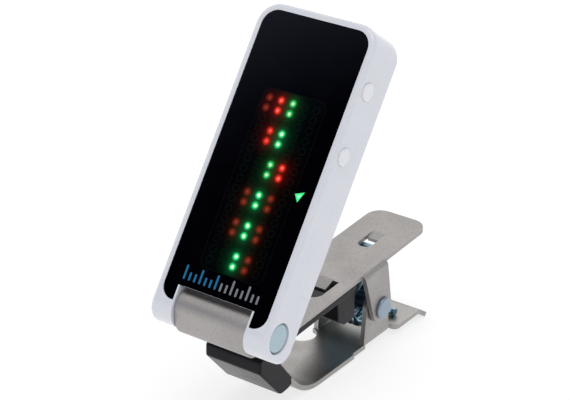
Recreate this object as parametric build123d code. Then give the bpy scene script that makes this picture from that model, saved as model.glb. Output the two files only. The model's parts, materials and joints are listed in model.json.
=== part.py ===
from build123d import *
import os
from math import asin, atan2, cos, hypot, radians, sin

# A clip-on instrument tuner: a display head hinged on a sprung stainless clip, in millimetres.
# Head frame: origin on the hinge pin, X to the right, Y to the rear, Z up along the face.
# Clip frame: origin on the hinge pin, Y rearwards along the upper arm, Z off its plate.
# Row frame: Z up, the clip standing on its lower arm, origin at the bottom centre.

# How the assembly stands
HEAD_LEAN = 39.3        # lean of the head back from square to the upper arm, degrees
STAND_ANGLE = 5.6       # pitch of the upper arm when the clip stands on a table, degrees

# Head shell
HEAD_HALF_WIDTH = 12.5
HEAD_TOP = 55.5
HEAD_BOTTOM = -4.2
HEAD_FRONT = -3.77
HEAD_BACK = 5.58
HEAD_CORNER = 4.3
EAR_FRONT_ROUND = 3.6
EAR_BACK_ROUND = 3.1
EDGE_ROUND = 0.7
WALL = 1.25
SEAM_Y = 1.9
COVER_BOTTOM = 8.0
CAVITY_BOTTOM = 6.2
CAVITY_BACK = 4.0
EAR_INNER = 7.85
NOTCH_RADIUS = 3.85
NOTCH_TOP = 2.9

# Display window stack
LENS_RECESS = 0.1
LENS_THICK = 1.0
LENS_GAP = 0.05
LENS_BOTTOM = 0.05
LENS_NOTCH_HALF = 8.2
LENS_LOBE_ROUND = 2.6
TAPE_THICK = 0.13
LEDGE_FRONT = -2.52
LEDGE_BACK = -1.72
LEDGE_WIDTH = 1.2
MASK_HALF_WIDTH = 9.0
MASK_BOTTOM = 6.9
MASK_TOP = 42.6
MASK_FRONT = -2.5
COLUMNS = 5
ROWS = 17
COLUMN_PITCH = 2.49
ROW_PITCH = 1.875
MATRIX_X = -0.3
MATRIX_Z = 24.0
CELL_HOLE_RADIUS = 0.75
MARKER_X = 7.4
MARKER_SIZE = 1.0

# Electronics
BOARD_FRONT = -0.9
BOARD_BACK = -0.1
BOARD_HALF_WIDTH = 10.9
BOARD_BOTTOM = 6.6
BOARD_TOP = 52.9
LED_LENGTH = 1.0
LED_WIDTH = 0.5
LED_HEIGHT = 0.5
COIN_RADIUS = 10.0
COIN_THICK = 3.2
COIN_FRONT = 1.25
COIN_Z = 35.0
DOOR_HALF_WIDTH = 10.4
DOOR_BOTTOM = 23.0
DOOR_THICK = 1.0
DOOR_GAP = 0.08
RAIL = 0.5
POST_X = 9.4
POST_LOW_Z = 10.2
POST_HIGH_Z = 50.4
POST_RADIUS = 1.55
SCREW_RADIUS = 0.7
SCREW_HEAD_RADIUS = 1.2
SCREW_HEAD_THICK = 0.5

# Buttons
SIDE_BUTTON_Y = -1.05
SIDE_BUTTON_HIGH_Z = 44.7
SIDE_BUTTON_LOW_Z = 32.8
SIDE_BUTTON_RADIUS = 1.6
SIDE_BUTTON_PROUD = 0.35
POWER_X = -0.9
POWER_Y = 0.3
POWER_LENGTH = 6.6
POWER_WIDTH = 2.4
POWER_PROUD = 0.45
SWITCH_INNER = 8.5
SWITCH_OUTER = 10.0
BUTTON_GAP = 0.06

# Hinge
PIN_RADIUS = 1.5
PIN_HEAD_RADIUS = 2.69
PIN_HEAD_THICK = 1.0
PIN_HEAD_RECESS = 0.15
HEAD_POCKET_GAP = 0.16
PIN_FIT = 0.02
BUSH_FIT = 0.05
KNUCKLE_HALF = 7.55
KNUCKLE_RADIUS = 3.37
KNUCKLE_DROP = 1.75
WASHER_THICK = 0.2
WASHER_RADIUS = 2.8

# Upper arm
UPPER_SHEET = 0.9
UPPER_TOP = -6.73
UPPER_HALF = 6.2
UPPER_END = 57.4
TAB_ROUND = 3.1
NECK_BEND = 1.2
WINDOW_HALF = 4.0
WINDOW_FRONT = 22.9
WINDOW_BACK = 30.0
TONGUE_HALF = 2.6
TONGUE_LENGTH = 2.6
TONGUE_ANGLE = 16.0
SLOT_TONGUE_LENGTH = 1.8
SLOT_HALF = 1.5
SLOT_FRONT = 43.3
SLOT_BACK = 49.6
UPPER_EAR_OUTER = 6.9
UPPER_EAR_FRONT = 34.2
UPPER_EAR_BACK = 41.9
UPPER_EAR_RADIUS = 3.0
BEND_OUTER = 1.3
PIVOT_Y = 39.9
PIVOT_Z = -16.25

# Lower arm
LOWER_SHEET = 0.95
LOWER_HALF = 6.2
LOWER_SLOPE = 3.1
LOWER_UNDER = 7.62
LOWER_EAR_OUTER = 5.8
LOWER_EAR_RADIUS = 3.7
LOWER_EAR_FRONT = -4.5
LOWER_EAR_BACK = 4.0
LOWER_STEP_Y = 31.3
LOWER_TAB_HALF = 6.7
LOWER_TAB_Y = 44.9
JAW_TOP = (5.6, -10.35)
JAW_BEND = (15.45, -22.08)
JAW_BEND_RADIUS = 10.3
TAB_BEND = (53.0, -24.12)
TAB_BEND_RADIUS = 1.4
LIP_END = (55.5, -26.05)
BITE = (-6.3, 32.0, 2.8)
JAW_HALF = 6.1
JAW_METAL_HALF = 5.2

# Rivet and spring
RIVET_RADIUS = 1.6
RIVET_HEAD_RADIUS = 2.15
RIVET_HEAD_THICK = 0.7
RIVET_FIT = 0.05
WIRE = 1.4
LEG_WIRE = 1.36
COIL_RADIUS = 4.3
COIL_TURNS = 5
COIL_CENTRE_X = -0.3
UPPER_LEG = (46.1, -8.38)
LOWER_LEG = (48.3, -22.64)
UPPER_LEG_END_X = 0.4
LOWER_LEG_END_X = 4.3

os.makedirs("parts", exist_ok=True)


# ---------------------------------------------------------------- helpers

def across(profile, x_low, x_high):
    """Extrude a (y, z) sketch along X."""
    return extrude(Plane.YZ.offset(x_low) * profile, amount=x_high - x_low)


def through(profile, y_low, y_high):
    """Extrude an (x, z) sketch along Y."""
    return extrude(Plane.XZ.offset(-y_low) * profile, amount=y_low - y_high)


def upright(profile, z_low, z_high):
    """Extrude an (x, y) sketch along Z."""
    return extrude(Plane.XY.offset(z_low) * profile, amount=z_high - z_low)


def block(x_low, x_high, y_low, y_high, z_low, z_high):
    """A box between two corners."""
    middle = ((x_low + x_high) / 2, (y_low + y_high) / 2, (z_low + z_high) / 2)
    return Pos(*middle) * Box(x_high - x_low, y_high - y_low, z_high - z_low)


def rod_x(radius, x_low, x_high, y=0.0, z=0.0):
    """A cylinder along X."""
    return across(Pos(y, z) * Circle(radius), x_low, x_high)


def rod_y(radius, y_low, y_high, x=0.0, z=0.0):
    """A cylinder along Y."""
    return through(Pos(x, z) * Circle(radius), y_low, y_high)


def rectangle(u_low, u_high, v_low, v_high):
    """A rectangle sketch between two corners."""
    centre = Pos((u_low + u_high) / 2, (v_low + v_high) / 2)
    return centre * Rectangle(u_high - u_low, v_high - v_low)


def rounded(sketch, radius, pick):
    """Round the corners of a sketch that the test picks."""
    corners = [v for v in sketch.vertices() if pick(v.X, v.Y)]
    return fillet(corners, radius)


def solids_of(shape):
    """One compound from a shape or a list of shapes."""
    if isinstance(shape, list):
        return Compound([solid for item in shape for solid in item.solids()])
    return shape


# ---------------------------------------------------------------- head shell

def face_outline(inset=0.0, bottom=HEAD_BOTTOM):
    """Front view of the head, or the same line set in by a wall."""
    half = HEAD_HALF_WIDTH - inset
    top = HEAD_TOP - inset
    shape = rectangle(-half, half, bottom, top)
    return rounded(shape, HEAD_CORNER - inset, lambda x, z: z > top - 0.1)


def side_outline():
    """Side view of the head with its ears rounded about the hinge."""
    shape = rectangle(HEAD_FRONT, HEAD_BACK, HEAD_BOTTOM, HEAD_TOP)
    shape = rounded(shape, EAR_FRONT_ROUND, lambda y, z: y < 0 and z < 0)
    return rounded(shape, EAR_BACK_ROUND, lambda y, z: y > 1 and z < 0)


def head_envelope():
    """The whole outer form of the head."""
    body = through(face_outline(), HEAD_FRONT, HEAD_BACK)
    body &= across(side_outline(), -HEAD_HALF_WIDTH, HEAD_HALF_WIDTH)
    # The front edges run smoothly round the ears into the back ones, so this rounds them all.
    front = [e for e in body.edges() if abs(e.center().Y - HEAD_FRONT) < 0.01 and e.center().Z > 0]
    return fillet(front, EDGE_ROUND)


def lens_outline(gap=0.0):
    """Front view of the window with its two lobes beside the knuckle."""
    half = HEAD_HALF_WIDTH - WALL - gap
    top = HEAD_TOP - WALL - gap
    low = LENS_BOTTOM + gap
    shape = rectangle(-half, half, low, top)
    shape = rounded(shape, HEAD_CORNER - WALL, lambda x, z: z > top - 0.1)
    shape = rounded(shape, LENS_LOBE_ROUND, lambda x, z: z < low + 0.1)
    shape -= rectangle(-LENS_NOTCH_HALF - gap, LENS_NOTCH_HALF + gap, low - 1, NOTCH_TOP + gap)
    return shape


def ledge_opening():
    """Opening inside the ledge that carries the window."""
    half = HEAD_HALF_WIDTH - WALL - LEDGE_WIDTH
    return rectangle(-half, half, CAVITY_BOTTOM, HEAD_TOP - WALL - LEDGE_WIDTH)


def knuckle_notch():
    """Room for the clip's knuckle and neck between the two ears."""
    reach = NOTCH_RADIUS
    space = rod_x(reach, -EAR_INNER, EAR_INNER)
    space += block(-EAR_INNER, EAR_INNER, HEAD_FRONT - 1, -2.0, HEAD_BOTTOM - 1, NOTCH_TOP)
    space += block(-EAR_INNER, EAR_INNER, 0, HEAD_BACK + 1, HEAD_BOTTOM - 1, reach)
    space += block(-EAR_INNER, EAR_INNER, -2.1, 0.1, HEAD_BOTTOM - 1, 0)
    return space


def post_places():
    """The four screw positions as (x, z)."""
    return [(x, z) for x in (-POST_X, POST_X) for z in (POST_LOW_Z, POST_HIGH_Z)]


def side_button_places():
    """Heights of the two side buttons."""
    return [SIDE_BUTTON_HIGH_Z, SIDE_BUTTON_LOW_Z]


def power_outline(length, width):
    """Plan of the power button or its opening, seen from above."""
    return Pos(POWER_X, POWER_Y) * SlotOverall(length, width)


def front_housing():
    """White front frame with the ledge, the ears and the four screw posts."""
    body = head_envelope()
    body -= through(lens_outline(), HEAD_FRONT - 1, LEDGE_FRONT)
    body -= through(ledge_opening(), LEDGE_FRONT - 0.1, LEDGE_BACK + 0.1)
    body -= through(face_outline(WALL, CAVITY_BOTTOM), LEDGE_BACK, CAVITY_BACK)
    body -= block(-20, 20, SEAM_Y, HEAD_BACK + 1, COVER_BOTTOM, HEAD_TOP + 1)
    body -= knuckle_notch()
    for x, z in post_places():
        body += rod_y(POST_RADIUS, LEDGE_BACK - 0.05, 2.9, x, z)
        body -= rod_y(SCREW_RADIUS - 0.05, 0.4, 3.0, x, z)
    for z in side_button_places():
        body -= rod_x(SIDE_BUTTON_RADIUS + BUTTON_GAP, 11.0, 14.0, SIDE_BUTTON_Y, z)
        body -= block(10.0, HEAD_HALF_WIDTH - WALL, LEDGE_FRONT + 0.1, 0.6, z - 2.2, z + 2.2)
    opening = power_outline(POWER_LENGTH + 2 * BUTTON_GAP, POWER_WIDTH + 2 * BUTTON_GAP)
    body -= upright(opening, HEAD_TOP - WALL - 0.5, HEAD_TOP + 1)
    body -= rod_x(PIN_RADIUS + PIN_FIT, -20, 20)
    for side in (-1, 1):
        inner = side * (HEAD_HALF_WIDTH - PIN_HEAD_RECESS - PIN_HEAD_THICK)
        low, high = sorted((inner, side * 20))
        body -= rod_x(PIN_HEAD_RADIUS + HEAD_POCKET_GAP, low, high)
    return body


def door_outline(gap=0.0):
    """Plan of the battery door in the back of the head."""
    half = DOOR_HALF_WIDTH + gap
    return rectangle(-half, half, DOOR_BOTTOM - gap, HEAD_TOP + 2 * gap)


def rail_space(top, gap=0.0):
    """The door's two edge tongues, or the grooves they run in."""
    middle = HEAD_BACK - DOOR_THICK / 2
    reach = DOOR_HALF_WIDTH + RAIL + gap
    half_thick = 0.22 + gap
    return block(-reach, reach, middle - half_thick, middle + half_thick, DOOR_BOTTOM - gap, top)


def rear_cover():
    """White rear cover with the coin cell opening and the door's recess."""
    body = head_envelope()
    body -= block(-20, 20, HEAD_FRONT - 1, SEAM_Y + 0.02, -20, 80)
    body -= block(-20, 20, HEAD_FRONT - 1, HEAD_BACK + 1, -20, COVER_BOTTOM + 0.02)
    body -= through(face_outline(WALL, -1), SEAM_Y - 1, CAVITY_BACK)
    body -= through(door_outline(DOOR_GAP), HEAD_BACK - DOOR_THICK - DOOR_GAP, HEAD_BACK + 1)
    body -= rail_space(HEAD_TOP + 1, DOOR_GAP)
    body -= rod_y(COIN_RADIUS + 0.25, CAVITY_BACK - 1, HEAD_BACK, 0, COIN_Z)
    for x, z in post_places():
        top = HEAD_BACK - 0.3 if z < DOOR_BOTTOM else HEAD_BACK - DOOR_THICK - DOOR_GAP
        body += rod_y(POST_RADIUS, 2.95, top, x, z)
        body -= rod_y(SCREW_RADIUS + 0.1, 2.0, HEAD_BACK + 1, x, z)
        head_seat = top - SCREW_HEAD_THICK - 0.1
        body -= rod_y(SCREW_HEAD_RADIUS + 0.1, head_seat, HEAD_BACK + 1, x, z)
    return body


def battery_door():
    """Sliding cover over the coin cell, with grip ribs."""
    body = head_envelope()
    inner = HEAD_BACK - DOOR_THICK
    body &= through(door_outline(), inner, HEAD_BACK + 1)
    body += rail_space(HEAD_TOP - HEAD_CORNER)
    for step in range(4):
        z = HEAD_TOP - 6.0 - 1.5 * step
        body -= block(-5, 5, HEAD_BACK - 0.3, HEAD_BACK + 1, z - 0.35, z + 0.35)
    return body


def case_screws():
    """Four screws that hold the rear cover."""
    screws = []
    for x, z in post_places():
        top = HEAD_BACK - 0.3 if z < DOOR_BOTTOM else HEAD_BACK - DOOR_THICK - DOOR_GAP
        seat = top - SCREW_HEAD_THICK - 0.1
        head = rod_y(SCREW_HEAD_RADIUS, seat, seat + SCREW_HEAD_THICK, x, z)
        head -= Pos(x, seat + SCREW_HEAD_THICK, z) * Box(1.6, 0.4, 0.35)
        head -= Pos(x, seat + SCREW_HEAD_THICK, z) * Box(0.35, 0.4, 1.6)
        screws.append(head + rod_y(SCREW_RADIUS - 0.07, 0.5, seat, x, z))
    return screws


# ---------------------------------------------------------------- display and electronics

def display_lens():
    """Black window over the light matrix."""
    front = HEAD_FRONT + LENS_RECESS
    return through(lens_outline(LENS_GAP), front, front + LENS_THICK)


def lens_tape():
    """Thin adhesive frame between window and ledge."""
    back = LEDGE_FRONT - 0.01
    frame = through(lens_outline(3 * LENS_GAP), back - TAPE_THICK, back)
    return frame - through(ledge_opening(), back - 1, back + 1)


def matrix_places():
    """Centres of the light matrix as (x, z)."""
    places = []
    for row in range(ROWS):
        for column in range(COLUMNS):
            x = MATRIX_X + (column - (COLUMNS - 1) / 2) * COLUMN_PITCH
            z = MATRIX_Z + ((ROWS - 1) / 2 - row) * ROW_PITCH
            places.append((x, z))
    return places


def marker_outline(size):
    """Triangle that points at the middle row."""
    tip = (MARKER_X - size, MATRIX_Z)
    upper = (MARKER_X + 0.8 * size, MATRIX_Z + size)
    lower = (MARKER_X + 0.8 * size, MATRIX_Z - size)
    return make_face(Polyline(tip, upper, lower, close=True))


def light_mask():
    """Black baffle with one hole for each light."""
    plate = rectangle(-MASK_HALF_WIDTH, MASK_HALF_WIDTH, MASK_BOTTOM, MASK_TOP)
    holes = [Pos(x, z) * Circle(CELL_HOLE_RADIUS) for x, z in matrix_places()]
    plate -= holes
    plate -= marker_outline(MARKER_SIZE)
    plate -= [Pos(x, z) * Circle(POST_RADIUS + 0.15) for x, z in post_places()]
    plate -= rectangle(SWITCH_INNER - 0.2, 20, SIDE_BUTTON_LOW_Z - 1.7, SIDE_BUTTON_LOW_Z + 1.7)
    return through(plate, MASK_FRONT, BOARD_FRONT - 0.02)


def matrix_leds():
    """Small light emitters on the board, one behind each hole."""
    low = BOARD_FRONT - LED_HEIGHT
    chips = []
    for x, z in matrix_places():
        chips.append(block(x - LED_LENGTH / 2, x + LED_LENGTH / 2, low, BOARD_FRONT,
                           z - LED_WIDTH / 2, z + LED_WIDTH / 2))
    return chips


def marker_led():
    """Light emitter behind the triangle."""
    low = BOARD_FRONT - LED_HEIGHT
    x = MARKER_X + 0.25
    return block(x - LED_WIDTH / 2, x + LED_WIDTH / 2, low, BOARD_FRONT,
                 MATRIX_Z - LED_LENGTH / 2, MATRIX_Z + LED_LENGTH / 2)


def circuit_board():
    """Printed circuit board with clearances for posts and side buttons."""
    plan = rectangle(-BOARD_HALF_WIDTH, BOARD_HALF_WIDTH, BOARD_BOTTOM, BOARD_TOP)
    plan = rounded(plan, 2.2, lambda x, z: z > BOARD_TOP - 0.1)
    for x, z in post_places():
        plan -= Pos(x, z) * Circle(POST_RADIUS + 0.15)
        outer = 20 if x > 0 else -20
        low, high = sorted((x, outer))
        plan -= rectangle(low, high, z - POST_RADIUS - 0.15, z + POST_RADIUS + 0.15)
    for z in side_button_places():
        plan -= rectangle(10.2, 20, z - 2.4, z + 2.4)
    return through(plan, BOARD_FRONT, BOARD_BACK)


def microcontroller():
    """Main chip on the back of the board."""
    return block(-8.0, -1.0, BOARD_BACK, 0.8, 13.5, 20.5)


def driver_chips():
    """Two display driver chips on the back of the board."""
    return [block(1.6, 6.4, BOARD_BACK, 0.75, z, z + 3.4) for z in (12.6, 17.4)]


def small_parts():
    """Resistors and capacitors beside the chips."""
    column = [block(7.3, 8.4, BOARD_BACK, 0.3, z, z + 0.6) for z in (13.8, 15.4, 17.0, 18.6, 20.2)]
    row = [block(x, x + 0.6, BOARD_BACK, 0.3, 22.0, 23.1) for x in (-6.0, -3.8, -1.6, 0.6)]
    return column + row


def crystal():
    """Oscillator can on the back of the board."""
    return block(-8.0, -4.8, BOARD_BACK, 0.7, 8.6, 11.1) - rod_y(POST_RADIUS, -1, 2, -POST_X, POST_LOW_Z)


def tact_switches():
    """Three small switches behind the buttons."""
    switches = []
    for z in side_button_places():
        body = block(SWITCH_INNER, SWITCH_OUTER, -2.4, BOARD_FRONT, z - 1.5, z + 1.5)
        plunger = rod_x(0.5, SWITCH_OUTER - 0.1, SWITCH_OUTER + 0.3, SIDE_BUTTON_Y - 0.5, z)
        switches.append(body + plunger)
    body = block(POWER_X - 1.5, POWER_X + 1.5, BOARD_BACK, 1.4, 50.9, 52.8)
    plunger = Pos(POWER_X, 0.6, 52.95) * Cylinder(0.5, 0.5)
    switches.append(body + plunger)
    return switches


def coin_cell():
    """Lithium coin cell, 20 mm across and 3.2 mm thick."""
    can = rod_y(COIN_RADIUS, COIN_FRONT + 0.5, COIN_FRONT + COIN_THICK, 0, COIN_Z)
    back = can.edges().filter_by(GeomType.CIRCLE).sort_by(Axis.Y)[-1]
    can = fillet(back, 0.4)
    return can + rod_y(COIN_RADIUS - 1.3, COIN_FRONT, COIN_FRONT + 0.6, 0, COIN_Z)


def negative_contact():
    """Leaf spring under the coin cell."""
    path = Polyline((0.02, 29.5), (0.02, 31.5), (1.1, 36.5), (1.1, 39.0))
    return across(trace(path, 0.2), -2.0, 2.0)


def positive_contact():
    """Upright strip beside the rim of the coin cell."""
    path = Polyline((0.02, 47.8), (0.02, 45.3), (3.6, 45.3))
    return across(trace(path, 0.2), -3.0, 3.0)


def piezo_disc():
    """Brass disc of the vibration sensor."""
    return rod_y(4.6, 3.75, 3.95, 0, 14.6)


def piezo_ceramic():
    """Ceramic element bonded to the brass disc."""
    return rod_y(3.3, 3.55, 3.75, 0, 14.6)


# ---------------------------------------------------------------- buttons

def side_button(z):
    """Round cap in the right side wall, with a flange that keeps it in."""
    outer = HEAD_HALF_WIDTH + SIDE_BUTTON_PROUD
    cap = rod_x(SIDE_BUTTON_RADIUS, 11.1, outer, SIDE_BUTTON_Y, z)
    rim = [e for e in cap.edges() if e.center().X > outer - 0.01]
    cap = fillet(rim, 0.3)
    # Relieved beside the window's ledge, so that the cap clears it when pressed.
    cap -= block(11.0, 11.75, HEAD_FRONT, LEDGE_FRONT + 0.15, z - 2.0, z + 2.0)
    return cap + block(10.75, 11.2, LEDGE_FRONT + 0.15, 0.45, z - 2.0, z + 2.0)


def power_button():
    """Bar in the top wall, with a flange that keeps it in."""
    top = HEAD_TOP + POWER_PROUD
    cap = upright(power_outline(POWER_LENGTH, POWER_WIDTH), HEAD_TOP - WALL - 0.2, top)
    rim = [e for e in cap.edges() if e.center().Z > top - 0.01]
    cap = fillet(rim, 0.35)
    flange = power_outline(POWER_LENGTH + 1.2, POWER_WIDTH + 0.7)
    return cap + upright(flange, HEAD_TOP - WALL - 0.5, HEAD_TOP - WALL - 0.06)


# ---------------------------------------------------------------- hinge

def hinge_pin():
    """Headed steel pin through both ears."""
    face = HEAD_HALF_WIDTH - PIN_HEAD_RECESS
    head = rod_x(PIN_HEAD_RADIUS, face - PIN_HEAD_THICK, face)
    rim = [e for e in head.edges() if e.center().X > face - 0.01]
    head = chamfer(rim, 0.25)
    return head + rod_x(PIN_RADIUS, -face + 0.4, face - 0.5)


def pin_cap():
    """Cap pressed on the pin's far end."""
    face = HEAD_HALF_WIDTH - PIN_HEAD_RECESS
    cap = rod_x(PIN_HEAD_RADIUS, -face, -face + PIN_HEAD_THICK)
    rim = [e for e in cap.edges() if e.center().X < -face + 0.01]
    cap = chamfer(rim, 0.25)
    return cap - rod_x(PIN_RADIUS, -face + 0.4, 0)


def friction_washers():
    """Two thin washers between the ears and the knuckle."""
    middle = (EAR_INNER + KNUCKLE_HALF) / 2
    half = WASHER_THICK / 2
    ring = Circle(WASHER_RADIUS) - Circle(PIN_RADIUS + BUSH_FIT)
    return [across(ring, side * middle - half, side * middle + half) for side in (-1, 1)]


def knuckle_outline(radius):
    """Oval section of the knuckle about the pin, in the clip frame."""
    oval = Circle(radius) + Pos(0, -KNUCKLE_DROP) * Circle(radius)
    return oval + rectangle(-radius, radius, -KNUCKLE_DROP, 0)


def hinge_bush():
    """Plastic core of the knuckle that the pin turns in."""
    core = knuckle_outline(KNUCKLE_RADIUS - UPPER_SHEET - 0.02)
    core -= Circle(PIN_RADIUS + BUSH_FIT)
    return across(core, -KNUCKLE_HALF, KNUCKLE_HALF)


# ---------------------------------------------------------------- upper arm

def upper_profile():
    """Side section of the upper arm: plate, neck and rolled knuckle."""
    radius = KNUCKLE_RADIUS - UPPER_SHEET / 2
    plate_z = UPPER_TOP - UPPER_SHEET / 2
    bend = NECK_BEND
    plate = Line((UPPER_END, plate_z), (radius + bend, plate_z))
    corner = RadiusArc((radius + bend, plate_z), (radius, plate_z + bend), bend)
    neck = Line((radius, plate_z + bend), (radius, 0))
    crown = ThreePointArc((radius, 0), (0, radius), (-radius, 0))
    front = Line((-radius, 0), (-radius, -KNUCKLE_DROP))
    under_angle = radians(-62)
    under_end = (radius * cos(under_angle), -KNUCKLE_DROP + radius * sin(under_angle))
    under = ThreePointArc((-radius, -KNUCKLE_DROP),
                          (-radius * cos(radians(60)), -KNUCKLE_DROP - radius * sin(radians(60))),
                          under_end)
    return trace(Wire([plate, corner, neck, crown, front, under]), UPPER_SHEET)


def upper_plan():
    """Plan of the upper arm's sheet, with window and slot."""
    tab = rectangle(5.6, UPPER_END, -UPPER_HALF, UPPER_HALF)
    tab = rounded(tab, TAB_ROUND, lambda y, x: y > UPPER_END - 0.1)
    plan = tab + rectangle(-6, 5.8, -KNUCKLE_HALF, KNUCKLE_HALF)
    window = rectangle(WINDOW_FRONT, WINDOW_BACK, -WINDOW_HALF, WINDOW_HALF)
    plan -= rounded(window, 2.0, lambda y, x: y < WINDOW_FRONT + 0.1)
    slot = rectangle(SLOT_FRONT, SLOT_BACK, -SLOT_HALF, SLOT_HALF)
    plan -= rounded(slot, SLOT_HALF - 0.1, lambda y, x: True)
    return plan


def tongue(y_root, half_width, length):
    """Strip of the plate lanced forwards and down from an opening's rear edge."""
    strip = block(-half_width, half_width, -length, 0.25, -UPPER_SHEET, 0)
    return Pos(0, y_root, UPPER_TOP) * Rot(TONGUE_ANGLE, 0, 0) * strip


def channel(outer_half, sheet, height, y_low, y_high):
    """A U-shaped channel along Y, its base at Z = 0 and its walls rising."""
    inner_round = BEND_OUTER - sheet
    outer = rectangle(-outer_half, outer_half, 0, height)
    outer = rounded(outer, BEND_OUTER, lambda x, z: z < 0.1)
    inner_half = outer_half - sheet
    inner = rectangle(-inner_half, inner_half, sheet, height + 1)
    inner = rounded(inner, inner_round, lambda x, z: z < sheet + 0.1)
    return through(outer - inner, y_low, y_high)


def ear_outline(radius, base_low, base_high, base_z):
    """Side view of an ear: a strap that narrows from its base to the pivot eye."""
    eye = Circle(radius)
    base = Line((base_low, base_z), (base_high, base_z))
    return make_hull(eye.edges() + base.edges())


def upper_arm():
    """Stainless upper arm, from the rolled knuckle to the thumb tab."""
    plan = upper_plan()
    sheet = across(upper_profile(), -KNUCKLE_HALF, KNUCKLE_HALF)
    cutter = extrude(Plane(origin=(0, 0, -12), x_dir=(0, 1, 0), z_dir=(0, 0, 1)) * plan, amount=20)
    body = sheet & cutter
    ears = channel(UPPER_EAR_OUTER, UPPER_SHEET, 14, UPPER_EAR_FRONT - 1, UPPER_EAR_BACK + 3)
    ears = Pos(0, 0, UPPER_TOP) * Rot(0, 180, 0) * ears
    base_z = UPPER_TOP - PIVOT_Z + 0.5
    side = ear_outline(UPPER_EAR_RADIUS, UPPER_EAR_FRONT - PIVOT_Y, UPPER_EAR_BACK - PIVOT_Y, base_z)
    ears &= Pos(0, PIVOT_Y, PIVOT_Z) * across(side, -10, 10)
    body += ears
    body += tongue(WINDOW_BACK, TONGUE_HALF, TONGUE_LENGTH)
    body += tongue(SLOT_BACK - 0.4, SLOT_HALF, SLOT_TONGUE_LENGTH)
    hole = rod_x(RIVET_RADIUS + RIVET_FIT, -10, 10, PIVOT_Y, PIVOT_Z)
    return body - hole


def upper_pad():
    """Rubber strip under the upper arm with a stop block at the rear."""
    top = UPPER_TOP - UPPER_SHEET - 0.02
    strip = block(-5.9, 5.9, 8.4, 33.0, top - 1.65, top)
    stop = Polyline((27.4, top - 0.5), (27.4, -13.5), (29.6, -15.3), (33.0, -15.3),
                    (33.0, top - 0.5), close=True)
    body = strip + across(make_face(stop), -5.4, 5.4)
    body -= block(-TONGUE_HALF - 0.2, TONGUE_HALF + 0.2, 26.9, 30.3, -8.75, top + 1)
    return body


# ---------------------------------------------------------------- lower arm

def lower_profile():
    """Side section of the lower arm: jaw, curved front, plate and turned lip."""
    path = FilletPolyline(JAW_TOP, JAW_BEND, TAB_BEND, LIP_END,
                          radius=[JAW_BEND_RADIUS, TAB_BEND_RADIUS])
    return trace(path, LOWER_SHEET)


def lower_plan():
    """Plan of the lower arm's sheet with steps and the rounded bite."""
    plan = rectangle(0, 11.6, -JAW_METAL_HALF, JAW_METAL_HALF)
    plan += rectangle(11.4, LOWER_STEP_Y, -LOWER_HALF, LOWER_HALF)
    plan += rectangle(LOWER_STEP_Y - 0.1, 35.6, -LOWER_EAR_OUTER, LOWER_EAR_OUTER)
    plan += rectangle(35.4, LOWER_TAB_Y, -LOWER_EAR_OUTER + 1.35, LOWER_EAR_OUTER - 1.35)
    tab = rectangle(LOWER_TAB_Y - 0.1, 60, -LOWER_TAB_HALF, LOWER_TAB_HALF)
    plan += rounded(tab, 1.2, lambda y, x: y < LOWER_TAB_Y)
    plan -= Pos(BITE[1], BITE[0]) * Circle(BITE[2])
    return plan


def lower_arm():
    """Stainless lower arm with two ears inside those of the upper arm."""
    sheet = across(lower_profile(), -8, 8)
    cutter = extrude(Plane(origin=(0, 0, -40), x_dir=(0, 1, 0), z_dir=(0, 0, 1)) * lower_plan(),
                     amount=40)
    # The plane's local Y points along -X, so the plan is mirrored back here.
    cutter = mirror(cutter, about=Plane.YZ)
    body = sheet & cutter
    ears = channel(LOWER_EAR_OUTER, LOWER_SHEET, 16, LOWER_EAR_FRONT - 4, LOWER_EAR_BACK + 4)
    ears = Pos(0, 0, -LOWER_UNDER) * ears
    side = ear_outline(LOWER_EAR_RADIUS, LOWER_EAR_FRONT, LOWER_EAR_BACK, -LOWER_UNDER - 0.1)
    ears &= across(side, -10, 10)
    body += Pos(0, PIVOT_Y, PIVOT_Z) * Rot(-LOWER_SLOPE, 0, 0) * ears
    hole = rod_x(RIVET_RADIUS + 0.02, -10, 10, PIVOT_Y, PIVOT_Z)
    return body - hole


def lower_jaw_pad():
    """Rubber block that caps the lower arm's upturned end."""
    shape = make_face(Polyline((2.7, -8.45), (2.5, -11.1), (8.3, -18.6), (11.6, -18.5),
                               (12.1, -16.9), (7.6, -10.5), (5.9, -8.45), close=True))
    shape = rounded(shape, 1.6, lambda y, z: z < -18)
    shape = rounded(shape, 0.9, lambda y, z: y > 12 or z > -12)
    body = across(shape, -JAW_HALF, JAW_HALF)
    body = fillet([e for e in body.edges() if abs(e.center().X) > JAW_HALF - 0.01], 0.4)
    body -= across(trace(Line(JAW_TOP, JAW_BEND), LOWER_SHEET + 0.04), -8, 8) & block(
        -JAW_METAL_HALF - 0.02, JAW_METAL_HALF + 0.02, 0, 20, -30, 0)
    return body - lower_arm()


# ---------------------------------------------------------------- rivet and spring

def pivot_rivet():
    """Headed rivet through all four ears."""
    seat = UPPER_EAR_OUTER + 0.05
    body = rod_x(RIVET_RADIUS, -seat - 0.1, seat + 0.1, PIVOT_Y, PIVOT_Z)
    for side in (-1, 1):
        low, high = sorted((side * seat, side * (seat + RIVET_HEAD_THICK)))
        head = rod_x(RIVET_HEAD_RADIUS, low, high, PIVOT_Y, PIVOT_Z)
        rim = [e for e in head.edges() if abs(e.center().X) > seat + RIVET_HEAD_THICK - 0.01]
        body += fillet(rim, 0.4)
    return body


def leg_line(target, upper):
    """Start and end of a spring leg that leaves the coil at a tangent."""
    run_y = target[0] - PIVOT_Y
    run_z = target[1] - PIVOT_Z
    reach = hypot(run_y, run_z)
    offset = asin(COIL_RADIUS / reach)
    heading = atan2(run_z, run_y) + (-offset if upper else offset)
    turn = radians(90) if upper else radians(-90)
    start = (PIVOT_Y + COIL_RADIUS * cos(heading + turn), PIVOT_Z + COIL_RADIUS * sin(heading + turn))
    return start, target


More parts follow.
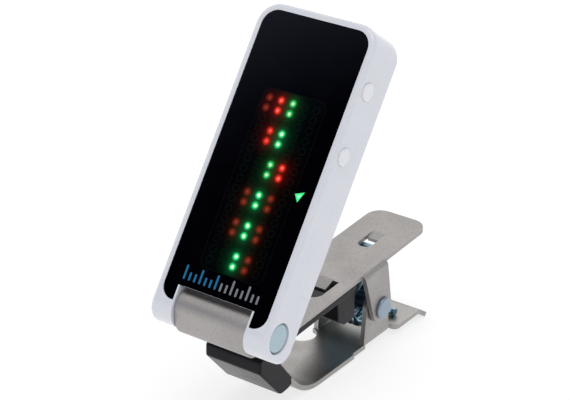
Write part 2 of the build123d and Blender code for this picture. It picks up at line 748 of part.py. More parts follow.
def wire_run(start, end):
    """A straight run of spring wire between two points."""
    line = Line(start, end)
    section = Plane(origin=line @ 0, z_dir=line % 0) * Circle(LEG_WIRE / 2)
    return extrude(section, amount=line.length, dir=line % 0)


def torsion_spring():
    """Closely wound coil about the rivet with a leg on each tab."""
    half = COIL_TURNS * WIRE / 2
    ring = Circle(COIL_RADIUS + WIRE / 2) - Circle(COIL_RADIUS - WIRE / 2)
    body = across(Pos(PIVOT_Y, PIVOT_Z) * ring, COIL_CENTRE_X - half, COIL_CENTRE_X + half)
    first = COIL_CENTRE_X - half + WIRE / 2
    last = COIL_CENTRE_X + half - WIRE / 2
    legs = ((UPPER_LEG, True, first, UPPER_LEG_END_X), (LOWER_LEG, False, last, LOWER_LEG_END_X))
    for target, upper, x, x_end in legs:
        start, end = leg_line(target, upper)
        body += wire_run((x, *start), (x, *end))
        body += Pos(x, *end) * Sphere(LEG_WIRE / 2)
        body += wire_run((x, *end), (x_end, *end))
    return body


# ---------------------------------------------------------------- assembly

HEAD_PARTS = {
    "front_housing": front_housing,
    "rear_cover": rear_cover,
    "battery_door": battery_door,
    "case_screws": case_screws,
    "display_lens": display_lens,
    "lens_tape": lens_tape,
    "light_mask": light_mask,
    "matrix_leds": matrix_leds,
    "marker_led": marker_led,
    "circuit_board": circuit_board,
    "microcontroller": microcontroller,
    "driver_chips": driver_chips,
    "small_parts": small_parts,
    "crystal": crystal,
    "tact_switches": tact_switches,
    "coin_cell": coin_cell,
    "negative_contact": negative_contact,
    "positive_contact": positive_contact,
    "piezo_disc": piezo_disc,
    "piezo_ceramic": piezo_ceramic,
    "side_button_upper": lambda: side_button(SIDE_BUTTON_HIGH_Z),
    "side_button_lower": lambda: side_button(SIDE_BUTTON_LOW_Z),
    "power_button": power_button,
    "hinge_pin": hinge_pin,
    "pin_cap": pin_cap,
    "friction_washers": friction_washers,
}

CLIP_PARTS = {
    "hinge_bush": hinge_bush,
    "upper_arm": upper_arm,
    "upper_pad": upper_pad,
    "lower_arm": lower_arm,
    "lower_jaw_pad": lower_jaw_pad,
    "pivot_rivet": pivot_rivet,
    "torsion_spring": torsion_spring,
}

HEAD_POSE = Rot(-HEAD_LEAN, 0, 0)
STAND = Rot(STAND_ANGLE, 0, 0)


def placed_parts():
    """Every part in the row frame, and the move that took the clip frame there."""
    tilted = {}
    for name, make in HEAD_PARTS.items():
        tilted[name] = STAND * HEAD_POSE * solids_of(make())
    for name, make in CLIP_PARTS.items():
        tilted[name] = STAND * solids_of(make())
    boxes = [shape.bounding_box() for shape in tilted.values()]
    low_y = min(box.min.Y for box in boxes)
    high_y = max(box.max.Y for box in boxes)
    floor = min(box.min.Z for box in boxes)
    shift = Pos(0, -(low_y + high_y) / 2, -floor)
    return {name: shift * shape for name, shape in tilted.items()}, shift * STAND


PARTS, CLIP_TO_ROW = placed_parts()
for node, shape in PARTS.items():
    export_step(shape, f"parts/{node}.step")
pin_place = CLIP_TO_ROW.position
pivot_place = (CLIP_TO_ROW * Pos(0, PIVOT_Y, PIVOT_Z)).position
print("hinge pin at", pin_place)
print("clip pivot at", pivot_place)
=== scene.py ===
import json
import logging
import math
from dataclasses import dataclass
from enum import Enum
from functools import cache
from typing import Iterable, Sequence

import bmesh
import bpy
from mathutils import Matrix, Vector


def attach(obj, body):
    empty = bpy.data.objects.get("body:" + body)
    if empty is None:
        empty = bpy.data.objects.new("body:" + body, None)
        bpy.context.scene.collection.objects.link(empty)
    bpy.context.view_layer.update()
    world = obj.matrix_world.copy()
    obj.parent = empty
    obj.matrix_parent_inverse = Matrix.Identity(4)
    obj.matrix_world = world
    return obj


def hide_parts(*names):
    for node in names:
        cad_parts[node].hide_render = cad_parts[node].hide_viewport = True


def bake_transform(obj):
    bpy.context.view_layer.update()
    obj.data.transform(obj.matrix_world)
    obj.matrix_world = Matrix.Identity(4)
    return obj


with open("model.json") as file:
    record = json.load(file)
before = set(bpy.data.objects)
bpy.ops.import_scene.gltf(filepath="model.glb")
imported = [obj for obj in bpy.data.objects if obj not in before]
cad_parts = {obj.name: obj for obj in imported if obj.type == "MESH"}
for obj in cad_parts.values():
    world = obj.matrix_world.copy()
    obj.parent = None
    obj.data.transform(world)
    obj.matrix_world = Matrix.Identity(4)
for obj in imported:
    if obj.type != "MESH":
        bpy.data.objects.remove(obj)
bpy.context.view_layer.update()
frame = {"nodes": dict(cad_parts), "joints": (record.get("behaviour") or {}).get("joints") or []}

MM = 0.001
STAND_ANGLE = 5.6
HEAD_LEAN = 39.3
Colour = tuple[float, float, float]
Point = tuple[float, float, float]
Pair = tuple[float, float]
Node = bpy.types.Node
Socket = bpy.types.NodeSocket
Tree = bpy.types.NodeTree
Piece = bpy.types.Object
Material = bpy.types.Material
Shape = bmesh.types.BMesh
INK_FRONT = -3.686
INK_BACK = -3.678
JOIN_DISTANCE = 2e-7
FLAT_DEGREES = 0.4
SMUDGES = 120.0
log = logging.getLogger("clip_tuner")


# ---- places

def joint_point(name: str) -> Vector:
    """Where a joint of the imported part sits, in metres in the row frame."""
    joint = next(j for j in frame["joints"] if j["name"] == name)
    return Vector(joint["pos_m"])


def tilted_at_pin(degrees: float) -> Matrix:
    """A frame in millimetres on the hinge pin, pitched with its rear raised."""
    turn = Matrix.Rotation(math.radians(degrees), 4, "X")
    return Matrix.Translation(joint_point("head_hinge")) @ turn @ Matrix.Scale(MM, 4)


class Body(Enum):
    """The rigid bodies of the tuner."""

    LOWER = "lower_clip"
    UPPER = "upper_clip"
    HEAD = "head"
    DOOR = "battery_door"
    UPPER_BUTTON = "side_button_upper"
    LOWER_BUTTON = "side_button_lower"
    POWER_BUTTON = "power_button"


class Along(Enum):
    """The pitch of the directions that a surface pattern follows, in degrees about X."""

    TABLE = 0.0
    CLIP = -STAND_ANGLE
    HEAD = HEAD_LEAN - STAND_ANGLE


HEAD_FRAME = tilted_at_pin(STAND_ANGLE - HEAD_LEAN)
CLIP_FRAME = tilted_at_pin(STAND_ANGLE)


# ---- node trees

@dataclass
class Bench:
    """A node tree being wired, with short ways to add and join nodes.

    Args:
        tree: a material's or a world's tree, or a node group.
    """

    tree: Tree

    def add(self, kind: str, links: dict | None = None, **settings: object) -> Node:
        """Adds a node.

        Args:
            kind: the node's Blender type name.
            links: values or output sockets for its inputs, by name or index.
            settings: properties to set on it.

        Returns:
            The new node.
        """
        node = self.tree.nodes.new(kind)
        for key, value in settings.items():
            setattr(node, key, value)
        self.feed_all(node, links or {})
        return node

    def feed_all(self, node: Node, values: dict) -> None:
        """Feeds a node's inputs, given by name or index."""
        for key, value in values.items():
            self.feed(node.inputs[key], value)

    def feed(self, socket: Socket, value: object) -> None:
        """Links a socket to a socket or a node's first output, or else sets its value.

        Args:
            socket: the input socket.
            value: a socket, a node or a plain value.
        """
        if isinstance(value, Node):
            value = value.outputs[0]
        if isinstance(value, Socket):
            self.tree.links.new(value, socket)
        else:
            socket.default_value = value

    def math(self, operation: str, *values: object) -> Socket:
        """Adds a Math node with its inputs in order, and gives its output."""
        return self.add("ShaderNodeMath", dict(enumerate(values)), operation=operation).outputs[0]

    def span(self, value: object, low: float, high: float, to_low: float = 0.0,
             to_high: float = 1.0, smooth: bool = False) -> Socket:
        """Maps a value from one range to another, clamped.

        Args:
            value: the input socket.
            low: the input that gives to_low.
            high: the input that gives to_high.
            to_low: the output at low.
            to_high: the output at high.
            smooth: whether the change eases in and out.

        Returns:
            The mapped output socket.
        """
        kind = "SMOOTHSTEP" if smooth else "LINEAR"
        values = {"Value": value, 1: low, 2: high, 3: to_low, 4: to_high}
        return self.add("ShaderNodeMapRange", values, interpolation_type=kind).outputs[0]

    def noise(self, vector: Socket, scale: object, **more: float) -> Socket:
        """Adds a Noise texture, with more of its inputs by name, and gives its value."""
        return self.add("ShaderNodeTexNoise", {"Vector": vector, "Scale": scale, **more}).outputs[0]

    def group(self, tree: Tree, *values: object) -> list[Socket]:
        """Adds a shared group with its inputs in order, and gives its outputs."""
        return list(self.add("ShaderNodeGroup", dict(enumerate(values)), node_tree=tree).outputs)

    def directions(self, along: Along) -> Socket:
        """Gives object coordinates turned to a body's own directions."""
        turn = {"Vector": self.add("ShaderNodeTexCoord").outputs["Object"],
                "Rotation": (math.radians(along.value), 0.0, 0.0)}
        return self.add("ShaderNodeMapping", turn).outputs[0]

    def bump(self, shader: Node, height: object, depth_mm: float) -> None:
        """Feeds a height, from 0 to 1, to the shader's normal as a depth in millimetres."""
        values = {"Height": height, "Distance": depth_mm * MM, "Strength": 1.0}
        self.feed(shader.inputs["Normal"], self.add("ShaderNodeBump", values))

    def vectors(self, operation: str, *values: object) -> Node:
        """Adds a Vector Math node with its inputs in order."""
        return self.add("ShaderNodeVectorMath", dict(enumerate(values)), operation=operation)

    def mix(self, share: object, first: object, second: object) -> Socket:
        """Mixes two colours.

        Args:
            share: how much of the second colour shows.
            first: a colour or socket.
            second: a colour or socket.

        Returns:
            The mixed colour's socket.
        """
        node = self.add("ShaderNodeMix", data_type="RGBA")
        for index, value in ((0, share), (6, first), (7, second)):
            self.feed(node.inputs[index], rgba(value) if isinstance(value, tuple) else value)
        return node.outputs[2]


def rgba(colour: Colour) -> tuple[float, float, float, float]:
    """A colour with full alpha."""
    return (*colour, 1.0)


def new_group(name: str, inputs: Sequence[tuple[str, str]], outputs: Sequence[tuple[str, str]],
              family: str = "Shader") -> tuple[Bench, Node, Node]:
    """Starts a node group.

    Args:
        name: the group's name.
        inputs: each input's name and kind.
        outputs: each output's name and kind.
        family: Shader or Geometry.

    Returns:
        The bench, the group's input node and its output node.
    """
    tree = bpy.data.node_groups.new(name, family + "NodeTree")
    for side, sockets in (("INPUT", inputs), ("OUTPUT", outputs)):
        for title, kind in sockets:
            tree.interface.new_socket(title, in_out=side, socket_type="NodeSocket" + kind)
    bench = Bench(tree)
    return bench, bench.add("NodeGroupInput"), bench.add("NodeGroupOutput")


def grain_group() -> Tree:
    """Builds the fine grain that moulded and rolled surfaces share.

    Returns:
        A group that gives a height and a mask of small specks.
    """
    bench, source, sink = new_group("fine_grain", [("Vector", "Vector"), ("Scale", "Float")],
                                    [("Height", "Float"), ("Specks", "Float")])
    vector, scale = source.outputs[0], source.outputs[1]
    fine = bench.noise(vector, scale, Detail=3.0, Roughness=0.65)
    cells = bench.add("ShaderNodeTexVoronoi", {"Vector": vector, "Scale": scale})
    height = bench.math("MULTIPLY_ADD", cells.outputs["Distance"], 0.35, fine)
    bench.feed_all(sink, {0: height, 1: bench.span(fine, 0.56, 0.72)})
    return bench.tree


def streak_group() -> Tree:
    """Builds the long fine lines of brushed and rolled metal.

    Returns:
        A group that gives a line pattern.
    """
    bench, source, sink = new_group("brushed_lines", [("Vector", "Vector"), ("Stretch", "Vector")],
                                    [("Lines", "Float")])
    scaled = bench.vectors("MULTIPLY", source.outputs[0], source.outputs[1])
    bench.feed(sink.inputs[0], bench.noise(scaled, 1.0, Detail=4.0, Roughness=0.7))
    return bench.tree


def handling_group() -> Tree:
    """Builds the faint marks that handling leaves.

    Returns:
        A group that gives soft smudges.
    """
    bench, source, sink = new_group("handling_marks", [("Vector", "Vector"), ("Size", "Float")],
                                    [("Smudge", "Float")])
    warp = bench.noise(source.outputs[0], source.outputs[1], Detail=4.0, Distortion=0.8)
    bench.feed(sink.inputs[0], bench.span(warp, 0.35, 0.7, smooth=True))
    return bench.tree


def edge_group() -> Tree:
    """Builds the mask that finds edges by comparing rounded and true normals.

    Returns:
        A group that gives an edge mask.
    """
    bench, source, sink = new_group("edge_finder", [("Radius", "Float")], [("Edge", "Float")])
    rounded = bench.add("ShaderNodeBevel", {"Radius": source.outputs[0]}, samples=4)
    true = bench.add("ShaderNodeNewGeometry")
    turn = bench.vectors("DOT_PRODUCT", rounded, true.outputs["Normal"])
    bench.feed(sink.inputs[0], bench.span(turn.outputs["Value"], 0.98, 0.75, smooth=True))
    return bench.tree


class Effects:
    """The shader groups that the finishes share, each built once."""

    GRAIN = grain_group()
    STREAKS = streak_group()
    HANDLING = handling_group()
    EDGE = edge_group()


# ---- finishes

def open_material(name: str) -> tuple[Material, Bench, Node]:
    """Starts a material with one Principled shader.

    Args:
        name: the material's name.

    Returns:
        The material, its bench and the shader node.
    """
    material = bpy.data.materials.new(name)
    material.use_nodes = True
    bench = Bench(material.node_tree)
    shader = next(n for n in material.node_tree.nodes if n.type == "BSDF_PRINCIPLED")
    return material, bench, shader


class Finish:
    """What every finish shares: its name, the directions it follows and how it is built."""

    name: str
    along: Along = Along.HEAD

    def wire(self, bench: Bench, shader: Node, vector: Socket) -> None:
        """Wires the finish's own look to the shader."""
        raise NotImplementedError(self.name)

    def make(self) -> Material:
        """Builds the material.

        Returns:
            The new material.
        """
        material, bench, shader = open_material(self.name)
        self.wire(bench, shader, bench.directions(self.along))
        return material


@dataclass(frozen=True)
class Moulded(Finish):
    """A moulded plastic or rubber, with grain, smudges and edges painted in their own colour: a
    painted highlight on most finishes, the real edge colour on the board and on the small parts'
    ends.

    Args:
        name: the material's name.
        colour: the main colour.
        shade: the colour of its faint variation.
        rough: roughness at its least and its most.
        grain: how many grains there are to the metre.
        depth: the grain's depth in millimetres.
        coat: the clear gloss over it.
        specular: how strongly it mirrors.
        edge: the colour painted on its edges, a painted highlight on most finishes and the real
            edge colour on the board and small parts.
        along: the directions it follows.
        bleed: how much light passes into it.
        sheen: how strongly it pales where it is seen edge on.
    """

    name: str
    colour: Colour
    shade: Colour
    rough: Pair
    grain: float = 4000.0
    depth: float = 0.004
    coat: float = 0.0
    specular: float = 0.5
    edge: Colour | None = None
    along: Along = Along.HEAD
    bleed: float = 0.0
    sheen: float = 0.0

    def wire(self, bench: Bench, shader: Node, vector: Socket) -> None:
        """Wires colour, smudges, edge colour (mostly a painted highlight), gloss and grain.

        Args:
            bench: the material's bench.
            shader: its Principled shader.
            vector: where its patterns are read.
        """
        grain, specks = bench.group(Effects.GRAIN, vector, self.grain)
        smudge = bench.group(Effects.HANDLING, vector, SMUDGES)[0]
        colour = bench.mix(bench.math("MULTIPLY", smudge, 0.6), self.colour, self.shade)
        # Edges get the edge colour: mostly a painted highlight along the rims, on the board and
        # small parts their real edge colour.
        if self.edge:
            edge = bench.group(Effects.EDGE, 0.25 * MM)[0]
            colour = bench.mix(bench.math("MULTIPLY", edge, 0.7), colour, self.edge)
        spread = bench.math("MULTIPLY_ADD", specks, 0.4, smudge)
        bench.feed_all(shader, {
            "Base Color": colour, "Roughness": bench.span(spread, 0.0, 1.3, *self.rough),
            "Coat Weight": self.coat, "Coat Roughness": 0.06,
            "Specular IOR Level": self.specular, "Sheen Weight": self.sheen,
            "Sheen Roughness": 0.2, "Subsurface Weight": self.bleed,
            "Subsurface Scale": 0.8 * MM})
        bench.bump(shader, grain, self.depth)


@dataclass(frozen=True)
class Metal(Finish):
    """A bare or plated metal, with rolled or brushed lines.

    Args:
        name: the material's name.
        colour: the main colour.
        shade: the colour of its lines and clouds.
        rough: roughness at its least and its most.
        stretch: how many lines there are to the metre along X, Y and Z.
        depth: the lines' depth in millimetres.
        edge: the lighter colour painted on its edges, a painted highlight.
        edge_reach: how far the painted edge highlight reaches, in millimetres.
        along: the directions it follows.
    """

    name: str
    colour: Colour
    shade: Colour
    rough: Pair
    stretch: Point = (6000.0, 300.0, 6000.0)
    depth: float = 0.002
    edge: Colour = (0.9, 0.9, 0.9)
    edge_reach: float = 0.2
    along: Along = Along.CLIP

    def wire(self, bench: Bench, shader: Node, vector: Socket) -> None:
        """Wires lines, specks, smudges, painted edge highlights and grain.

        Args:
            bench: the material's bench.
            shader: its Principled shader.
            vector: where its patterns are read.
        """
        lines = bench.group(Effects.STREAKS, vector, self.stretch)[0]
        grain, specks = bench.group(Effects.GRAIN, vector, 3200.0)
        smudge = bench.group(Effects.HANDLING, vector, 90.0)[0]
        # The edge mask paints a lighter rim along the edges: a painted highlight.
        edge = bench.group(Effects.EDGE, self.edge_reach * MM)[0]
        blend = bench.math("MULTIPLY_ADD", specks, 0.8, lines)
        colour = bench.mix(bench.span(blend, 0.35, 1.05), self.colour, self.shade)
        colour = bench.mix(bench.math("MULTIPLY", edge, 0.55), colour, self.edge)
        spread = bench.math("MULTIPLY_ADD", lines, 0.6, smudge)
        bench.feed_all(shader, {"Base Color": colour, "Metallic": 1.0,
                                "Roughness": bench.span(spread, 0.2, 1.3, *self.rough)})
        bench.bump(shader, bench.math("MULTIPLY_ADD", grain, 0.5, lines), self.depth)


@dataclass(frozen=True)
class Printed(Finish):
    """An even printed or pigmented film with a faint mottle.

    Args:
        name: the material's name.
        colour: the ink's colour.
        glow: how brightly it shines by itself.
    """

    name: str
    colour: Colour
    glow: float = 0.0

    def wire(self, bench: Bench, shader: Node, vector: Socket) -> None:
        """Wires the ink's colour, mottle and glow.

        Args:
            bench: the material's bench.
            shader: its Principled shader.
            vector: where its patterns are read.
        """
        grain, specks = bench.group(Effects.GRAIN, vector, 3500.0)
        colour = bench.mix(specks, self.colour, tuple(0.7 * c for c in self.colour))
        bench.feed_all(shader, {"Base Color": colour, "Specular IOR Level": 0.08,
                                "Roughness": bench.span(grain, 0.3, 1.0, 0.25, 0.45)})
        if self.glow:
            bench.feed_all(shader, {"Emission Color": colour, "Emission Strength": self.glow})
        bench.bump(shader, grain, 0.001)


@dataclass(frozen=True)
class LampField(Finish):
    """The lit window: black gloss with one glowing dot to a cell, and a faint green rim glowing
    round every cell, a painted reflection of the lamp packages.

    Args:
        name: the material's name.
        dot: the radius of a dot in millimetres.
        core: the radius of its hot centre in millimetres.
    """

    name: str = "lamp_field"
    dot: float = 0.88
    core: float = 0.30

    def wire(self, bench: Bench, shader: Node, vector: Socket) -> None:
        """Wires the dots from the sheet's own cell map and its two colour attributes.

        Args:
            bench: the material's bench.
            shader: its Principled shader.
            vector: where its patterns are read.
        """
        cell = bench.add("ShaderNodeUVMap", uv_map="cell")
        wobble = bench.noise(vector, 2600.0, Detail=1.0)
        reach = bench.vectors("LENGTH", cell)
        radius = bench.math("MULTIPLY_ADD", wobble, 0.3, reach.outputs["Value"])
        radius = bench.math("SUBTRACT", radius, 0.15)
        lamp = bench.add("ShaderNodeAttribute", attribute_name="lamp")
        halo = bench.add("ShaderNodeAttribute", attribute_name="halo")
        disc = bench.span(radius, self.dot, self.dot * 0.62, smooth=True)
        core = bench.span(radius, self.core * 1.6, self.core * 0.4, smooth=True)
        glow = bench.math("MULTIPLY", disc, bench.span(radius, 0.62, 0.2, 0.4, 1.0, smooth=True))
        lit = bench.mix(glow, (0.0, 0.0, 0.0), lamp.outputs["Color"])
        hot = bench.mix(bench.math("MULTIPLY", core, lamp.outputs["Alpha"]), lit, (1.0, 1.0, 0.9))
        # A faint green rim glows round every cell, lit or not: a painted reflection of the lamp
        # packages behind the window.
        painted_rim_reflection = bench.math("MULTIPLY", bench.span(radius, 0.5, 0.62, smooth=True),
                         bench.span(radius, 0.8, 0.66, smooth=True))
        outline = bench.mix(bench.math("MULTIPLY", painted_rim_reflection, wobble), (0.0, 0.0, 0.0),
                            (0.002, 0.010, 0.004))
        both = bench.vectors("ADD", hot, halo.outputs["Color"])
        total = bench.vectors("ADD", both, outline)
        smudge = bench.group(Effects.HANDLING, vector, SMUDGES)[0]
        bench.feed_all(shader, {
            "Emission Color": total, "Emission Strength": 1.0,
            "Base Color": bench.mix(smudge, (0.0005, 0.0006, 0.0013), (0.0009, 0.001, 0.002)),
            "Roughness": bench.span(smudge, 0.0, 1.0, 0.05, 0.09), "Specular IOR Level": 0.3})


# Each finish's edge colour is painted on its edges: a painted highlight, except on the solder mask
# and the small parts, where it is their real edge colour.
WHITE = Moulded("white_gloss_shell", (0.725, 0.735, 0.785), (0.695, 0.71, 0.765), (0.16, 0.26),
                grain=2500.0, depth=0.0015, coat=0.35, edge=(0.86, 0.87, 0.90), bleed=0.06)
DOOR = Moulded("white_gloss_door", (0.78, 0.79, 0.83), (0.75, 0.765, 0.81), (0.2, 0.32),
               grain=2800.0, depth=0.002, coat=0.25, edge=(0.84, 0.85, 0.88), bleed=0.06)
CAP = Moulded("white_button_cap", (0.83, 0.83, 0.86), (0.80, 0.81, 0.85), (0.2, 0.3),
              grain=3200.0, depth=0.001, coat=0.2, edge=(0.88, 0.88, 0.90), bleed=0.08)
WINDOW = Moulded("black_gloss_window", (0.0005, 0.0005, 0.0013), (0.0009, 0.0009, 0.002),
                 (0.04, 0.08), grain=900.0, depth=0.0002, specular=0.3)
RUBBER = Moulded("charcoal_rubber", (0.004, 0.004, 0.006), (0.008, 0.008, 0.011), (0.22, 0.33),
                 grain=4200.0, depth=0.002, specular=0.16, edge=(0.025, 0.025, 0.03),
                 along=Along.CLIP, sheen=0.24)
DARK_PLASTIC = Moulded("dark_bush_plastic", (0.05, 0.05, 0.055), (0.07, 0.07, 0.075), (0.35, 0.5),
                       along=Along.CLIP)
MASK_PLASTIC = Moulded("matt_black_mask", (0.012, 0.012, 0.012), (0.02, 0.02, 0.02), (0.6, 0.8))
TAPE = Moulded("adhesive_tape", (0.03, 0.03, 0.03), (0.05, 0.05, 0.05), (0.5, 0.75), grain=1800.0)
SOLDER_MASK = Moulded("green_solder_mask", (0.012, 0.11, 0.045), (0.02, 0.16, 0.06), (0.2, 0.35),
                      grain=1400.0, depth=0.01, coat=0.3, edge=(0.35, 0.30, 0.16))
CHIP_EPOXY = Moulded("chip_epoxy", (0.016, 0.016, 0.018), (0.026, 0.026, 0.028), (0.45, 0.7),
                     grain=6000.0, depth=0.006, edge=(0.06, 0.06, 0.065))
LAMP_BODY = Moulded("lamp_package", (0.72, 0.74, 0.66), (0.62, 0.66, 0.52), (0.15, 0.3), coat=0.3)
CERAMIC = Moulded("small_part_ceramic", (0.28, 0.19, 0.11), (0.36, 0.26, 0.16), (0.35, 0.6),
                  edge=(0.6, 0.6, 0.58))
SILVERED = Moulded("silvered_ceramic", (0.72, 0.70, 0.64), (0.62, 0.60, 0.55), (0.35, 0.55),
                   grain=3000.0, depth=0.006)
WASHER = Moulded("acetal_washer", (0.62, 0.62, 0.59), (0.55, 0.55, 0.53), (0.35, 0.5))
SWITCH = Moulded("switch_housing", (0.03, 0.03, 0.032), (0.05, 0.05, 0.052), (0.35, 0.55),
                 edge=(0.25, 0.25, 0.25))
UPPER_STEEL = Metal("satin_upper_arm", (0.435, 0.415, 0.405), (0.315, 0.30, 0.292), (0.44, 0.56),
                    stretch=(5200.0, 900.0, 5200.0), depth=0.004, edge=(0.62, 0.60, 0.58))
LOWER_STEEL = Metal("satin_lower_arm", (0.39, 0.375, 0.362), (0.28, 0.268, 0.258), (0.33, 0.45),
                    stretch=(4600.0, 380.0, 4600.0), depth=0.003, edge=(0.66, 0.64, 0.62))
PIN_STEEL = Metal("bright_zinc_pin", (0.40, 0.50, 0.56), (0.33, 0.43, 0.49), (0.2, 0.34),
                  stretch=(900.0, 1400.0, 1400.0), edge=(0.75, 0.80, 0.84), edge_reach=0.3,
                  along=Along.HEAD)
RIVET_STEEL = Metal("bright_zinc_rivet", (0.30, 0.36, 0.43), (0.25, 0.31, 0.38), (0.16, 0.3),
                    stretch=(900.0, 1200.0, 1200.0), edge=(0.80, 0.84, 0.88), edge_reach=0.3)
SPRING_STEEL = Metal("dark_zinc_spring", (0.25, 0.41, 0.51), (0.36, 0.54, 0.65), (0.06, 0.14),
                     stretch=(700.0, 700.0, 700.0), depth=0.0015, edge=(0.3, 0.4, 0.46))
CELL_STEEL = Metal("nickel_cell_can", (0.60, 0.60, 0.58), (0.52, 0.52, 0.50), (0.22, 0.36),
                   along=Along.HEAD)
CONTACT = Metal("contact_strip", (0.62, 0.60, 0.52), (0.55, 0.52, 0.44), (0.2, 0.34),
                along=Along.HEAD)
BRASS = Metal("piezo_brass", (0.66, 0.47, 0.20), (0.58, 0.40, 0.16), (0.22, 0.4), along=Along.HEAD)
SCREW_STEEL = Metal("screw_zinc", (0.52, 0.54, 0.56), (0.44, 0.46, 0.48), (0.2, 0.35),
                    along=Along.HEAD)
CAN_STEEL = Metal("crystal_can", (0.58, 0.58, 0.56), (0.50, 0.50, 0.48), (0.25, 0.4),
                  along=Along.HEAD)
BLUE_INK = Printed("blue_tick_ink", (0.018, 0.15, 0.31))
GREY_INK = Printed("grey_tick_ink", (0.20, 0.21, 0.23))
BORDER_INK = Printed("window_border", (0.0008, 0.0022, 0.0014))
MARKER_GLOW = Printed("marker_glow", (0.03, 0.50, 0.14), glow=1.0)
HOT_GLOW = Printed("marker_hot_spot", (0.22, 0.80, 0.40), glow=1.0)


@cache
def material_of(finish: Finish) -> Material:
    """Gives a finish's material, built the first time it is asked for."""
    return finish.make()


# ---- meshes

def dress(piece: Piece, finish: Finish) -> None:
    """Gives a piece one finish all over.

    Args:
        piece: the piece or CAD node.
        finish: its finish.
    """
    slots = piece.data.materials
    slots.clear()
    slots.append(material_of(finish))
    for polygon in piece.data.polygons:
        polygon.material_index = 0


def seat(piece: Piece, body: Body, finish: Finish,
         replaces: Sequence[str] = ()) -> None:
    """Dresses a piece and ties it to its body.

    Args:
        piece: a finished piece.
        body: the body that it rides on.
        finish: its finish.
        replaces: the CAD nodes that it stands for.
    """
    dress(piece, finish)
    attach(piece, body.value)
    if replaces:
        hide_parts(*replaces)
    log.info("%s: %d faces", piece.name, len(piece.data.polygons))


def linked(name: str, data: object) -> Piece:
    """Makes an object of some data and puts it in the scene.

    Args:
        name: the object's name.
        data: its mesh, curve, light or camera.

    Returns:
        The new object.
    """
    piece = bpy.data.objects.new(name, data)
    bpy.context.scene.collection.objects.link(piece)
    return piece


def plain_mesh(source: Piece, name: str) -> bpy.types.Mesh:
    """Gives the mesh of an object as its modifiers leave it.

    Args:
        source: the object.
        name: the mesh's name.

    Returns:
        The new mesh.
    """
    evaluated = source.evaluated_get(bpy.context.evaluated_depsgraph_get())
    mesh = bpy.data.meshes.new_from_object(evaluated)
    mesh.name = name
    return mesh


def piece_from(name: str, bm: Shape, place: Matrix | None = None) -> Piece:
    """Makes a piece from a bmesh.

    Args:
        name: the piece's name.
        bm: its shape, which is freed.
        place: the matrix to apply to it.

    Returns:
        The new object at the origin, with its place in its mesh.
    """
    if place is not None:
        bmesh.ops.transform(bm, matrix=place, verts=bm.verts)
    mesh = bpy.data.meshes.new(name)
    bm.to_mesh(mesh)
    bm.free()
    return linked(name, mesh)


def smooth_by_angle(mesh: bpy.types.Mesh, degrees: float) -> None:
    """Shades a mesh smooth except over edges sharper than an angle."""
    mesh.polygons.foreach_set("use_smooth", [True] * len(mesh.polygons))
    mesh.set_sharp_from_angle(angle=math.radians(degrees))


def eased_copy(node: str, round_mm: float, degrees: float = 32.0) -> Piece:
    """Copies a CAD node as one joined mesh with its sharp edges eased.

    Args:
        node: the CAD node.
        round_mm: the width of the eased edges.
        degrees: the angle above which an edge is eased.

    Returns:
        The new piece.
    """
    bm = bmesh.new()
    bm.from_mesh(frame["nodes"][node].data)
    bmesh.ops.remove_doubles(bm, verts=bm.verts, dist=JOIN_DISTANCE)
    bmesh.ops.dissolve_limit(bm, angle_limit=math.radians(FLAT_DEGREES), verts=bm.verts,
                             edges=bm.edges)
    sharp = [e for e in bm.edges if len(e.link_faces) == 2
             and e.calc_face_angle(0.0) > math.radians(degrees)]
    if round_mm:
        bmesh.ops.bevel(bm, geom=sharp, offset=round_mm * MM, segments=2, profile=0.5,
                        affect="EDGES", clamp_overlap=True)
    bmesh.ops.triangulate(bm, faces=[f for f in bm.faces if len(f.verts) > 4])
    piece = piece_from(node + "_skin", bm)
    smooth_by_angle(piece.data, degrees)
    even = piece.modifiers.new("even_normals", "WEIGHTED_NORMAL")
    even.weight = 100
    even.keep_sharp = True
    mesh = plain_mesh(piece, piece.name)
    piece.modifiers.clear()
    piece.data = mesh
    return piece


def skin(node: str, round_mm: float, body: Body, finish: Finish) -> None:
    """Stands an eased copy in a CAD node's place, dressed and tied to its body."""
    seat(eased_copy(node, round_mm), body, finish, [node])


def grown_by_nodes(name: str, seed: Piece, tree: Tree, values: dict[str, object]) -> Piece:
    """Runs a geometry node tree on a seed object and keeps the plain result.

    Args:
        name: the new piece's name.
        seed: the object the tree starts from, which is removed.
        tree: the tree.
        values: the tree's inputs by name.

    Returns:
        The resulting mesh piece.
    """
    modifier = seed.modifiers.new("grow", "NODES")
    modifier.node_group = tree
    sockets = {s.name: s.identifier for s in tree.interface.items_tree if s.in_out == "INPUT"}
    for key, value in values.items():
        modifier[sockets[key]] = value
    bpy.context.view_layer.update()
    mesh = plain_mesh(seed, name)
    bpy.data.objects.remove(seed)
    return linked(name, mesh)


def growth_tree(name: str, extra: tuple[str, str]) -> tuple[Bench, Node, Node]:
    """Starts a geometry node tree that takes geometry, one more input and a material."""
    inputs = [("Geometry", "Geometry"), extra, ("Material", "Material")]
    return new_group(name, inputs, [("Geometry", "Geometry")], "Geometry")


def finished_tree(bench: Bench, last: Node, source: Node, sink: Node) -> Tree:
    """Ends a geometry node tree with real meshes in the given material.

    Args:
        bench: the tree's bench.
        last: the node whose geometry is kept.
        source: the input node, which has the material as its third output.
        sink: the output node.

    Returns:
        The geometry node tree.
    """
    whole = bench.add("GeometryNodeRealizeInstances", {"Geometry": last})
    painted = bench.add("GeometryNodeSetMaterial",
                        {"Geometry": whole, "Material": source.outputs[2]})
    bench.feed(sink.inputs[0], painted)
    return bench.tree


